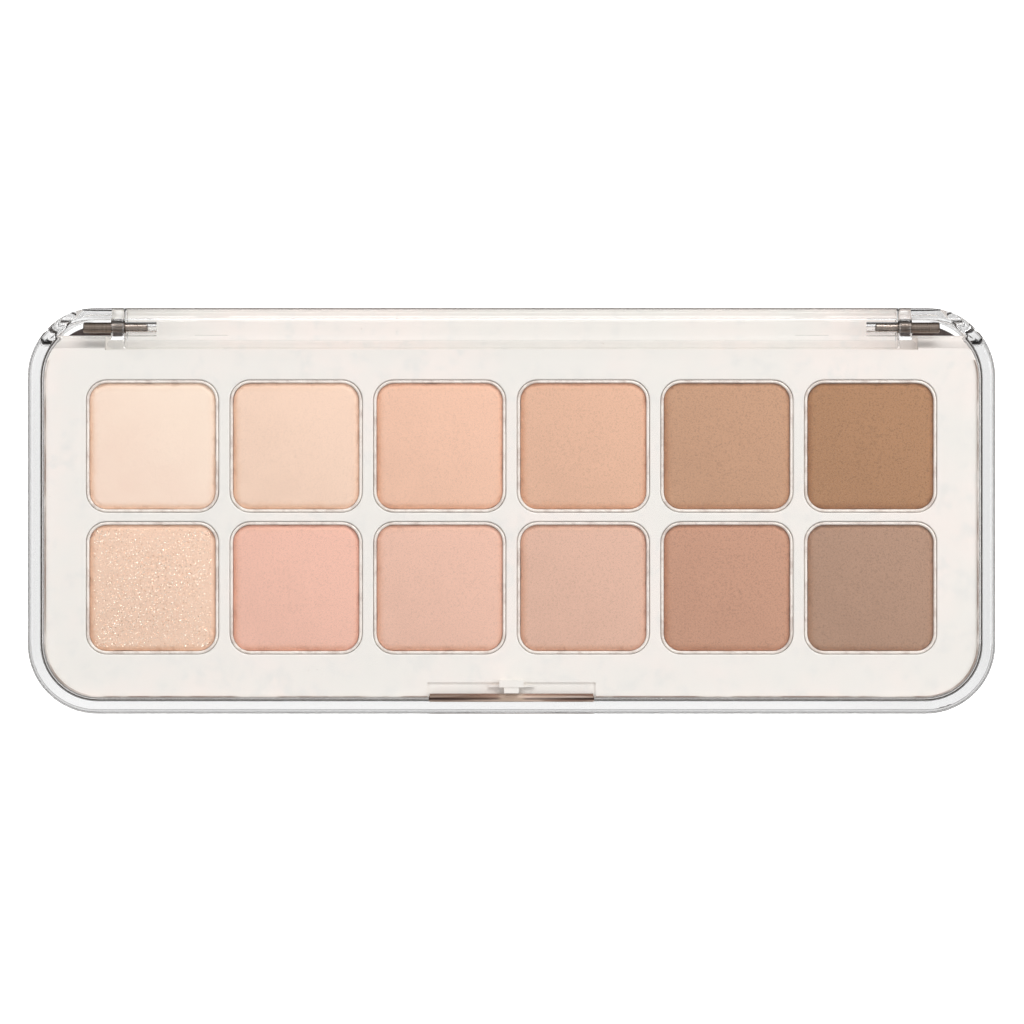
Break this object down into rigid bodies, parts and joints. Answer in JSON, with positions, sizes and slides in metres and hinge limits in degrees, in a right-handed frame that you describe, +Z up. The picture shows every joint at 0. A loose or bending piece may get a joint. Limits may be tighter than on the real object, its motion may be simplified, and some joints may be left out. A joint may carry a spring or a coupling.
{
  "type": "eyeshadow palette",
  "caption": "Slim rounded makeup palette with a clear hinged lid over an ivory tray of square pressed-powder pans.",
  "frame": {"origin": "centre of the underside of the closed palette", "axes": "+X along the long side, +Y from the latch to the hinge, +Z up out of the lid"},
  "size_m": [0.1344, 0.0564, 0.012],
  "materials": {
    "clear_plastic": "clear, polished",
    "ivory_plastic": "ivory, soft gloss",
    "pan_metal": "drawn, satin",
    "pin_steel": "ground",
    "label_paper": "matt white film",
    "pan_glue": "translucent hot melt",
    "powder_champagne_shimmer": "pressed powder, shimmer",
    "powder_pink_peach": "pressed powder, satin",
    "powder_soft_rose": "pressed powder, satin",
    "powder_dusty_pink": "pressed powder, satin",
    "powder_rose_brown": "pressed powder, satin",
    "powder_cocoa": "pressed powder, satin",
    "powder_cream": "pressed powder, satin",
    "powder_pale_peach": "pressed powder, satin",
    "powder_peach": "pressed powder, satin",
    "powder_warm_beige": "pressed powder, satin",
    "powder_tan": "pressed powder, satin",
    "powder_olive_brown": "pressed powder, satin"
  },
  "bodies": {
    "base": {"base_shell": "clear_plastic", "base_label": "label_paper", "pan_tray": "ivory_plastic", "latch_catch": "ivory_plastic", "pan_glue_dots": "pan_glue", "pan_front_1": "pan_metal", "powder_front_1": "powder_champagne_shimmer", "pan_front_2": "pan_metal", "powder_front_2": "powder_pink_peach", "pan_front_3": "pan_metal", "powder_front_3": "powder_soft_rose", "pan_front_4": "pan_metal", "powder_front_4": "powder_dusty_pink", "pan_front_5": "pan_metal", "powder_front_5": "powder_rose_brown", "pan_front_6": "pan_metal", "powder_front_6": "powder_cocoa", "pan_back_1": "pan_metal", "powder_back_1": "powder_cream", "pan_back_2": "pan_metal", "powder_back_2": "powder_pale_peach", "pan_back_3": "pan_metal", "powder_back_3": "powder_peach", "pan_back_4": "pan_metal", "powder_back_4": "powder_warm_beige", "pan_back_5": "pan_metal", "powder_back_5": "powder_tan", "pan_back_6": "pan_metal", "powder_back_6": "powder_olive_brown"},
    "lid": {"lid_cover": "clear_plastic", "hinge_pin_left": "pin_steel", "hinge_pin_right": "pin_steel"}
  },
  "joints": [
    {"name": "lid_hinge", "type": "hinge", "parent": "base", "child": "lid", "pos_m": [0, 0.02545, 0.0092], "axis": [-1, 0, 0], "range_deg": [0, 135]}
  ]
}
